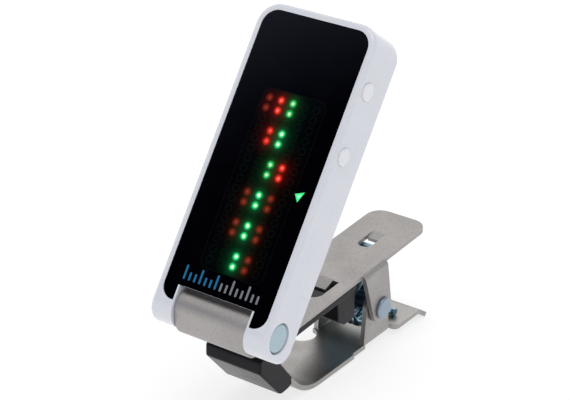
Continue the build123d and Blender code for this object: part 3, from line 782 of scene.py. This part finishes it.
def wire_tree() -> Tree:
    """Builds the tree that draws round wire along a path.

    Returns:
        The geometry node tree.
    """
    bench, source, sink = growth_tree("drawn_wire", ("Radius", "Float"))
    ring = bench.add("GeometryNodeCurvePrimitiveCircle",
                     {"Resolution": 18, "Radius": source.outputs[1]})
    tube = bench.add("GeometryNodeCurveToMesh",
                     {"Curve": source.outputs[0], "Profile Curve": ring, "Fill Caps": True})
    smooth = bench.add("GeometryNodeSetShadeSmooth", {"Geometry": tube})
    return finished_tree(bench, smooth, source, sink)


def copies_tree() -> Tree:
    """Builds the tree that sets a copy of one part on every point of the seed.

    Returns:
        The geometry node tree.
    """
    bench, source, sink = growth_tree("copies_on_points", ("Part", "Object"))
    part = bench.add("GeometryNodeObjectInfo", {"Object": source.outputs[1]})
    spread = bench.add("GeometryNodeInstanceOnPoints", {"Points": source.outputs[0],
                                                        "Instance": part.outputs["Geometry"]})
    return finished_tree(bench, spread, source, sink)


def in_frame(place: Matrix, points: Iterable[Point]) -> list[Vector]:
    """Takes points in millimetres in a body's frame to metres in the row frame."""
    return [place @ Vector(p) for p in points]


def copies(name: str, part: Piece, points: Sequence[Vector], finish: Finish) -> Piece:
    """Sets copies of a part on points, as one piece.

    Args:
        name: the piece's name.
        part: the part to copy, at the origin, which is removed.
        points: where the copies go.
        finish: their finish.

    Returns:
        The new piece.
    """
    bm = bmesh.new()
    for point in points:
        bm.verts.new(point)
    seed = piece_from(name + "_seed", bm)
    piece = grown_by_nodes(name, seed, COPIES, {"Part": part, "Material": material_of(finish)})
    bpy.data.objects.remove(part)
    return piece


def bridge(bm: Shape, near: Sequence[bmesh.types.BMVert],
           far: Sequence[bmesh.types.BMVert]) -> None:
    """Joins two closed rings of vertices with faces."""
    for i, j in zip(range(len(near)), [*range(1, len(near)), 0]):
        bm.faces.new((near[j], near[i], far[i], far[j]))


def plate(points: Sequence[Pair], front: float, back: float) -> Shape:
    """A flat plate in the head's frame.

    Args:
        points: its outline as (x, z) in millimetres, anticlockwise seen from the front.
        front: Y of its front.
        back: Y of its back.

    Returns:
        Its shape.
    """
    bm = bmesh.new()
    near = [bm.verts.new((x, front, z)) for x, z in points]
    far = [bm.verts.new((x, back, z)) for x, z in points]
    bm.faces.new(near)
    bm.faces.new(list(reversed(far)))
    bridge(bm, near, far)
    bmesh.ops.recalc_face_normals(bm, faces=bm.faces)
    return bm


def rounded_box(left: float, right: float, low: float, high: float, radius: float,
                steps: int = 8) -> list[Pair]:
    """The outline of a rectangle with round corners.

    Args:
        left: its least x.
        right: its greatest x.
        low: its least z.
        high: its greatest z.
        radius: the corners' radius.
        steps: the steps round each corner.

    Returns:
        Points as (x, z), anticlockwise.
    """
    corners = ((right - radius, high - radius, 0), (left + radius, high - radius, 90),
               (left + radius, low + radius, 180), (right - radius, low + radius, 270))
    outline = []
    for x, z, start in corners:
        for step in range(steps + 1):
            angle = math.radians(start + 90 * step / steps)
            outline.append((x + radius * math.cos(angle), z + radius * math.sin(angle)))
    return outline


COPIES = copies_tree()
WIRE = wire_tree()


# ---- the head

class Lamp(Enum):
    """The colour and the strength of a lamp: red, green, blue and how white its centre is."""

    OFF = (0.0, 0.0, 0.0, 0.0)
    GREEN = (0.01, 0.66, 0.12, 0.55)
    FULL_GREEN = (0.02, 0.95, 0.25, 0.85)
    RED = (0.80, 0.010, 0.004, 0.08)
    FULL_RED = (1.0, 0.016, 0.008, 0.16)
    DIM_RED = (0.18, 0.009, 0.002, 0.02)


BARS = ((Lamp.DIM_RED, 1, (1, 2)), (Lamp.FULL_RED, 2, (1, 2)), (Lamp.RED, 2, (4, 5)),
        (Lamp.DIM_RED, 2, (10, 11, 13, 14)), (Lamp.GREEN, 3, (1, 2, 7, 8)),
        (Lamp.FULL_GREEN, 3, (4, 5, 10, 11, 13, 14, 16, 17)), (Lamp.FULL_RED, 4, (7, 8)),
        (Lamp.DIM_RED, 4, (10, 11, 13, 14, 16, 17)))
LIT = {(column, row): lamp for lamp, column, rows in BARS for row in rows}


@dataclass
class DisplaySheet:
    """The field of lamps seen in the window.

    Args:
        columns: lamps across.
        rows: lamps up.
        pitch_x: distance between columns, in millimetres.
        pitch_z: distance between rows.
        centre_x: X of the middle column.
        centre_z: Z of the middle row.
        front: Y of the sheet.
        parts: how finely each cell is divided.
        margin_x: the border beside the outer cells.
        margin_z: the border above and below them.
        bloom: the strength and the spread of the light close round a lamp.
        haze: the same for the light farther off.
        border_outside: the border's reach beyond the field and its corners' radius.
        border_inside: the same for its inner line.
    """

    columns: int = 5
    rows: int = 17
    pitch_x: float = 2.49
    pitch_z: float = 1.875
    centre_x: float = 0.9
    centre_z: float = 23.85
    front: float = -3.682
    parts: int = 6
    margin_x: float = 0.4
    margin_z: float = 0.75
    bloom: Pair = (0.11, 0.9)
    haze: Pair = (0.014, 5.0)
    border_outside: Pair = (0.1, 2.0)
    border_inside: Pair = (0.01, 1.91)

    def centre(self, column: int, row: int) -> Pair:
        """The middle of a cell as (x, z)."""
        return (self.centre_x + (column - (self.columns + 1) / 2) * self.pitch_x,
                self.centre_z + ((self.rows + 1) / 2 - row) * self.pitch_z)

    def halo(self, x: float, z: float) -> Colour:
        """The stray light at a point of the sheet.

        Args:
            x: the point's X.
            z: the point's Z.

        Returns:
            Its red, green and blue.
        """
        total = (0.0, 0.0, 0.0)
        for column, row in sorted(LIT):
            cx, cz = self.centre(column, row)
            away = (x - cx) ** 2 + (z - cz) ** 2
            near = sum(strength * math.exp(-away / spread)
                       for strength, spread in (self.bloom, self.haze))
            total = tuple(t + near * c for t, c in zip(total, LIT[column, row].value))
        return total

    def mesh(self) -> Piece:
        """Builds the sheet with its cell map and its lamp and halo colours.

        Returns:
            The sheet's piece.
        """
        bm = bmesh.new()
        cell_map = bm.loops.layers.uv.new("cell")
        lamp_layer = bm.loops.layers.float_color.new("lamp")
        halo_layer = bm.verts.layers.float_color.new("halo")
        xs = self.stops(self.centre_x, self.columns, self.pitch_x, self.margin_x)
        zs = self.stops(self.centre_z, self.rows, self.pitch_z, self.margin_z)
        grid = [[bm.verts.new((x, self.front, z)) for z in zs] for x in xs]
        for line in grid:
            for vert in line:
                vert[halo_layer] = (*self.halo(vert.co.x, vert.co.z), 1.0)
        for i in range(len(xs) - 1):
            for j in range(len(zs) - 1):
                corners = grid[i][j], grid[i + 1][j], grid[i + 1][j + 1], grid[i][j + 1]
                face = bm.faces.new(corners)
                column = self.lamp_at(i, self.columns)
                row = self.rows + 1 - self.lamp_at(j, self.rows)
                cx, cz = self.centre(column, row)
                for loop in face.loops:
                    loop[cell_map].uv = (loop.vert.co.x - cx, loop.vert.co.z - cz)
                    loop[lamp_layer] = LIT.get((column, row), Lamp.OFF).value
        return piece_from("display_field", bm, HEAD_FRAME)

    def stops(self, centre: float, count: int, pitch: float, margin: float) -> list[float]:
        """The grid lines across one direction, with a margin at each end.

        Args:
            centre: the middle line.
            count: how many lamps there are.
            pitch: the distance between them.
            margin: the width of each margin.

        Returns:
            The lines in order.
        """
        low = centre - count * pitch / 2
        inner = [low + pitch * k / self.parts for k in range(count * self.parts + 1)]
        return [low - margin, *inner, inner[-1] + margin]

    def lamp_at(self, step: int, count: int) -> int:
        """Which lamp, counted from 1, a step of the grid belongs to, margins included."""
        return min(max((step - 1) // self.parts, 0), count - 1) + 1

    def outline(self, reach: float, radius: float) -> list[Pair]:
        """The round-cornered outline of the field.

        Args:
            reach: how far it stands outside the field, in millimetres.
            radius: its corners' radius.

        Returns:
            Points as (x, z).
        """
        half_x = self.columns * self.pitch_x / 2 + self.margin_x
        half_z = self.rows * self.pitch_z / 2 + self.margin_z
        return rounded_box(self.centre_x - half_x - reach, self.centre_x + half_x + reach,
                           self.centre_z - half_z - reach, self.centre_z + half_z + reach, radius)

    def border(self) -> Piece:
        """Builds the thin line round the lit field.

        Returns:
            The border's piece.
        """
        outer, inner = self.outline(*self.border_outside), self.outline(*self.border_inside)
        bm = bmesh.new()
        rings = []
        for outline, y in ((outer, INK_BACK), (outer, INK_FRONT),
                           (inner, INK_FRONT), (inner, INK_BACK)):
            rings.append([bm.verts.new((x, y, z)) for x, z in outline])
        for near, far in zip(rings, rings[1:] + rings[:1]):
            bridge(bm, far, near)
        bmesh.ops.recalc_face_normals(bm, faces=bm.faces)
        return piece_from("display_border", bm, HEAD_FRAME)


@dataclass
class Marker:
    """The lit triangle beside the middle row.

    Args:
        corners: its corners as (x, z) in millimetres.
        front: Y of its face.
        back: how far behind that its back is.
    """

    corners: tuple[Pair, ...] = ((7.6, 24.1), (8.6, 22.8), (9.4, 24.8))
    front: float = -3.69
    back: float = 0.012

    def mesh(self, name: str, share: float, lift: float) -> Piece:
        """Builds the triangle, or a smaller one on it.

        Args:
            name: the piece's name.
            share: its size against the full triangle's.
            lift: how far its face stands in front, in millimetres.

        Returns:
            The new piece.
        """
        cx = sum(x for x, _ in self.corners) / 3
        cz = sum(z for _, z in self.corners) / 3
        outline = [(cx + share * (x - cx), cz + share * (z - cz)) for x, z in self.corners]
        bm = plate(outline, self.front - lift, self.front + self.back)
        return piece_from(name, bm, HEAD_FRAME)


@dataclass
class TickScale:
    """A plain printed scale of upright ticks across the foot of the window.

    Args:
        left: X of the first tick.
        pitch: distance between ticks.
        foot: Z of the ticks' feet.
        width: a tick's width.
        tall: the height of every third tick.
        short: the height of the others.
        blue: how many ticks are blue.
        grey: how many ticks are grey.
    """

    left: float = -7.7
    pitch: float = 1.12
    foot: float = 4.1
    width: float = 0.42
    tall: float = 2.6
    short: float = 1.5
    blue: int = 7
    grey: int = 8

    def places(self, first: int, count: int, tall: bool) -> list[Vector]:
        """The feet of the tall or the short ticks of a run."""
        chosen = [i for i in range(first, first + count) if (i % 3 == 0) == tall]
        return in_frame(HEAD_FRAME, [(self.left + i * self.pitch, 0.0, self.foot) for i in chosen])

    def tick(self, height: float) -> Piece:
        """Builds one tick at the origin, turned as the head is.

        Args:
            height: the tick's height in millimetres.

        Returns:
            The tick's piece.
        """
        half = self.width / 2
        bm = plate(rounded_box(-half, half, 0.0, height, half * 0.9, 4), INK_FRONT, INK_BACK)
        return piece_from("tick", bm, HEAD_FRAME.to_3x3().to_4x4())

    def build(self) -> None:
        """Prints both runs of ticks."""
        runs = (("blue", 0, self.blue, BLUE_INK), ("grey", self.blue, self.grey, GREY_INK))
        for label, first, count, ink in runs:
            for tall in (True, False):
                height = self.tall if tall else self.short
                name = f"scale_ticks_{label}_{'tall' if tall else 'short'}"
                piece = copies(name, self.tick(height), self.places(first, count, tall), ink)
                seat(piece, Body.HEAD, ink)


@dataclass
class DisplayHead:
    """The head: its shells, window, lamps, buttons and electronics.

    Args:
        shell_round: how far the shells' crisp edges are eased, in millimetres.
        button_round: the same for the buttons.
    """

    shell_round: float = 0.05
    button_round: float = 0.05

    def build(self) -> None:
        """Builds every piece of the head."""
        self.shells()
        self.window()
        self.inside()

    def shells(self) -> None:
        """Skins the housing, the cover, the door and the buttons."""
        for node in ("front_housing", "rear_cover"):
            skin(node, self.shell_round, Body.HEAD, WHITE)
        skin("battery_door", self.shell_round, Body.DOOR, DOOR)
        for body in (Body.UPPER_BUTTON, Body.LOWER_BUTTON, Body.POWER_BUTTON):
            skin(body.value, self.button_round, body, CAP)
        dress(frame["nodes"]["case_screws"], SCREW_STEEL)

    def window(self) -> None:
        """Fits the window, its lamps, the marker and the printed scale."""
        skin("display_lens", 0.0, Body.HEAD, WINDOW)
        sheet, marker = DisplaySheet(), Marker()
        for piece, finish in (
                (sheet.mesh(), LampField()), (sheet.border(), BORDER_INK),
                (marker.mesh("marker_triangle", share=1.0, lift=0.0), MARKER_GLOW),
                (marker.mesh("marker_hot_spot", share=0.45, lift=0.004), HOT_GLOW)):
            seat(piece, Body.HEAD, finish)
        TickScale().build()

    def inside(self) -> None:
        """Dresses what the case holds."""
        plan = {"lens_tape": TAPE, "light_mask": MASK_PLASTIC, "matrix_leds": LAMP_BODY,
                "marker_led": LAMP_BODY, "circuit_board": SOLDER_MASK,
                "microcontroller": CHIP_EPOXY, "driver_chips": CHIP_EPOXY,
                "small_parts": CERAMIC, "crystal": CAN_STEEL,
                "tact_switches": SWITCH, "coin_cell": CELL_STEEL, "negative_contact": CONTACT,
                "positive_contact": CONTACT, "piezo_disc": BRASS, "piezo_ceramic": SILVERED}
        for node, finish in plan.items():
            dress(frame["nodes"][node], finish)
            log.info("%s dressed", node)


# ---- hinge and clip

@dataclass
class HeadHinge:
    """The pin, its cap, the washers and the knuckle's core.

    Args:
        round_mm: how far the pin's edges are eased.
    """

    round_mm: float = 0.08

    def build(self) -> None:
        """Builds the hinge's pieces."""
        for node in ("hinge_pin", "pin_cap"):
            skin(node, self.round_mm, Body.HEAD, PIN_STEEL)
        dress(frame["nodes"]["friction_washers"], WASHER)
        dress(frame["nodes"]["hinge_bush"], DARK_PLASTIC)


@dataclass
class ClipArms:
    """The two sheet-metal arms, their rubber and the rivet.

    Args:
        sheet_round: how far the sheet's cut edges are eased, in millimetres.
        rubber_round: the same for the rubber.
        rivet_round: the same for the rivet.
    """

    sheet_round: float = 0.12
    rubber_round: float = 0.25
    rivet_round: float = 0.05

    def build(self) -> None:
        """Builds the arms and what is fixed to them."""
        skin("upper_arm", self.sheet_round, Body.UPPER, UPPER_STEEL)
        skin("lower_arm", self.sheet_round, Body.LOWER, LOWER_STEEL)
        skin("upper_pad", self.rubber_round, Body.UPPER, RUBBER)
        skin("lower_jaw_pad", self.rubber_round, Body.LOWER, RUBBER)
        skin("pivot_rivet", self.rivet_round, Body.LOWER, RIVET_STEEL)


@dataclass
class CoilSpring:
    """The torsion spring: a close coil about the rivet with a hooked leg on each tab.

    Args:
        pivot: the coil's centre as (y, z) in the clip's frame, in millimetres.
        radius: the coil's radius to the wire's middle.
        wire: the wire's radius.
        turns: whole turns beyond the angle between the legs.
        first_x: X where the upper leg leaves.
        last_x: X where the lower leg leaves.
        upper_leg: where the upper leg hooks, as (y, z).
        lower_leg: where the lower leg hooks.
        upper_end: X of the upper hook's end.
        lower_end: X of the lower hook's end.
        bend: the radius of the hooks' bends.
        bend_steps: the steps round a hook's bend.
        turn_steps: the steps round one turn of the coil.
    """

    pivot: Pair = (39.9, -16.25)
    radius: float = 4.3
    wire: float = 0.68
    turns: int = 4
    first_x: float = -3.4
    last_x: float = 2.85
    upper_leg: Pair = (46.1, -8.38)
    lower_leg: Pair = (48.3, -22.64)
    upper_end: float = 0.4
    lower_end: float = 4.3
    bend: float = 1.1
    bend_steps: int = 8
    turn_steps: int = 36

    def leaving(self, target: Pair, side: int) -> float:
        """The angle on the coil where a leg leaves at a tangent.

        Args:
            target: where the leg goes.
            side: 1 for the upper leg, -1 for the lower.

        Returns:
            The angle in radians.
        """
        run_y, run_z = target[0] - self.pivot[0], target[1] - self.pivot[1]
        swing = math.asin(self.radius / math.hypot(run_y, run_z))
        heading = math.atan2(run_z, run_y) - side * swing
        return heading + side * math.pi / 2

    def on_coil(self, x: float, angle: float) -> Vector:
        """A point of the coil."""
        return Vector((x, self.pivot[0] + self.radius * math.cos(angle),
                       self.pivot[1] + self.radius * math.sin(angle)))

    def corner(self, before: Vector, at: Vector, after: Vector) -> list[Vector]:
        """The points of a smooth bend.

        Args:
            before: a point on the run that comes in.
            at: the corner.
            after: a point on the run that goes out.

        Returns:
            Points from run to run.
        """
        start = at + (before - at).normalized() * self.bend
        end = at + (after - at).normalized() * self.bend
        steps = [k / self.bend_steps for k in range(self.bend_steps + 1)]
        return [start * (1 - t) ** 2 + at * 2 * t * (1 - t) + end * t * t for t in steps]

    def path(self) -> list[Vector]:
        """The wire's centreline, from the upper hook to the lower one.

        Returns:
            Its points in millimetres, in the clip's frame.
        """
        begin = self.leaving(self.upper_leg, 1)
        finish = self.leaving(self.lower_leg, -1)
        while finish < begin:
            finish += 2 * math.pi
        finish += 2 * math.pi * self.turns
        upper_tip = Vector((self.upper_end, *self.upper_leg))
        upper_bend = Vector((self.first_x, *self.upper_leg))
        lower_tip = Vector((self.lower_end, *self.lower_leg))
        lower_bend = Vector((self.last_x, *self.lower_leg))
        count = self.turn_steps * (self.turns + 1)
        coil = []
        for k in range(count + 1):
            t = k / count
            x = self.first_x + (self.last_x - self.first_x) * t
            coil.append(self.on_coil(x, begin + (finish - begin) * t))
        return [upper_tip, *self.corner(upper_tip, upper_bend, coil[0]), *coil,
                *self.corner(coil[-1], lower_bend, lower_tip), lower_tip]

    def build(self) -> None:
        """Draws the wire in the clip's frame, in place of the CAD spring."""
        curve = bpy.data.curves.new("spring_path", "CURVE")
        curve.dimensions = "3D"
        points = in_frame(CLIP_FRAME, [tuple(p) for p in self.path()])
        spline = curve.splines.new("POLY")
        spline.points.add(len(points) - 1)
        for target, point in zip(spline.points, points):
            target.co = (*point, 1.0)
        seed = linked("spring_seed", curve)
        piece = grown_by_nodes("spring_wire", seed, WIRE, {"Radius": self.wire * MM,
                                                           "Material": material_of(SPRING_STEEL)})
        dress(piece, SPRING_STEEL)
        smooth_by_angle(piece.data, 40.0)
        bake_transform(piece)
        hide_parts("torsion_spring")
        log.info("%s: %d faces", piece.name, len(piece.data.polygons))


# ---- the studio

@dataclass
class Softbox:
    """A soft light that hangs round the object.

    Args:
        name: the light's name.
        place: where it stands, in metres.
        size: its width and height.
        power: its strength in watts.
        colour: its colour.
    """

    name: str
    place: Point
    size: Pair
    power: float
    colour: Colour = (1.0, 1.0, 1.0)

    def build(self, target: Vector) -> None:
        """Hangs the light and aims it.

        Args:
            target: the point that it faces.
        """
        data = bpy.data.lights.new(self.name, "AREA")
        data.shape = "RECTANGLE"
        data.size, data.size_y = self.size
        data.energy = self.power
        data.color = self.colour
        lamp = linked(self.name, data)
        lamp.location = self.place
        lamp.rotation_euler = (target - Vector(self.place)).to_track_quat("-Z", "Y").to_euler()
        lamp.visible_camera = False


@dataclass
class Studio:
    """The floor, the lights, the surroundings and the camera.

    Args:
        aim: the point in the middle of the picture, in millimetres.
        azimuth: how far round to the right the camera stands, in degrees.
        elevation: how far up it stands.
        distance: how far off it stands, in millimetres.
        roll: its turn about the line of sight, in degrees.
        lens: its focal length in millimetres.
        flag: the direction of the black flag that keeps the window dark.
        floor_drop: how far the floor lies under the clip, in millimetres.
        floor_glow: how brightly the floor shines.
        room_glow: how brightly the room shines.
    """

    aim: Point = (-3.990, -3.158, 33.839)
    azimuth: float = 35.279
    elevation: float = 24.168
    distance: float = 360.51
    roll: float = 1.644
    lens: float = 126.316
    flag: Point = (-0.450, -0.740, 0.500)
    floor_drop: float = 0.03
    floor_glow: float = 0.72
    room_glow: float = 0.78

    def build(self) -> None:
        """Sets up everything round the object."""
        self.floor()
        self.surroundings()
        self.camera()
        centre = Vector((0.0, 0.0, 0.035))
        for light in (Softbox("top_softbox", (0.05, -0.12, 0.90), (0.6, 0.5), 1.6),
                      Softbox("right_softbox", (0.65, -0.05, 0.30), (0.3, 0.5), 0.14,
                              (0.94, 0.96, 1.0)),
                      Softbox("rear_softbox", (-0.35, 0.60, 0.45), (0.5, 0.35), 0.4)):
            light.build(centre)

    def floor(self) -> None:
        """Lays the pale floor, softly lit from beneath, just under the clip."""
        bm = bmesh.new()
        bmesh.ops.create_grid(bm, x_segments=2, y_segments=2, size=3.0)
        low = Matrix.Translation((0.0, 0.0, -self.floor_drop * MM))
        floor = piece_from("studio_floor", bm, low)
        material, bench, shader = open_material("pale_floor")
        cloud = bench.noise(bench.directions(Along.TABLE), 3.0)
        bench.feed_all(shader, {
            "Base Color": bench.mix(cloud, (0.33, 0.33, 0.33), (0.35, 0.35, 0.35)),
            "Roughness": 0.9, "Specular IOR Level": 0.1,
            "Emission Color": rgba((1.0, 1.0, 1.0)), "Emission Strength": self.floor_glow})
        floor.data.materials.append(material)

    def surroundings(self) -> None:
        """Paints the soft white room round the object."""
        world = bpy.data.worlds.new("soft_room")
        world.use_nodes = True
        bench = Bench(world.node_tree)
        background = next(n for n in world.node_tree.nodes if n.type == "BACKGROUND")
        place = bench.add("ShaderNodeTexCoord")
        toward = bench.vectors("DOT_PRODUCT", place.outputs["Generated"], self.flag)
        cool = bench.span(toward.outputs["Value"], 0.94, 0.971, smooth=True)
        dark = bench.span(toward.outputs["Value"], 0.973, 0.991, smooth=True)
        room = bench.mix(cool, (1.0, 1.0, 1.0), (0.62, 0.72, 1.0))
        room = bench.mix(dark, room, (0.0, 0.0, 0.0))
        sides = bench.add("ShaderNodeSeparateXYZ", {0: place.outputs["Generated"]})
        right = bench.span(sides.outputs[0], 0.1, 0.8, smooth=True)
        room = bench.mix(right, room, (0.70, 0.73, 0.78))
        bench.feed_all(background, {"Color": room, "Strength": self.room_glow})
        bpy.context.scene.world = world

    def camera(self) -> None:
        """Stands the camera at its place."""
        data = bpy.data.cameras.new("studio_camera")
        data.lens = self.lens
        data.sensor_width = 36.0
        data.clip_start = 0.01
        camera = linked("studio_camera", data)
        round_z = Matrix.Rotation(math.radians(self.azimuth), 4, "Z")
        tip = Matrix.Rotation(math.radians(90.0 - self.elevation), 4, "X")
        twist = Matrix.Rotation(math.radians(self.roll), 4, "Z")
        back = Matrix.Translation((0.0, 0.0, self.distance * MM))
        aim = Matrix.Translation(Vector(self.aim) * MM)
        camera.matrix_world = aim @ round_z @ tip @ back @ twist
        bpy.context.scene.camera = camera


def main() -> None:
    """Builds the tuner's looks and the studio round it."""
    logging.basicConfig(level=logging.INFO, format="%(name)s %(message)s")
    Studio().build()
    for assembly in (DisplayHead(), HeadHinge(), ClipArms(), CoilSpring()):
        log.info("building %s", type(assembly).__name__)
        assembly.build()
    bpy.context.scene.view_settings.view_transform = "Standard"


if __name__ == "__main__":
    main()
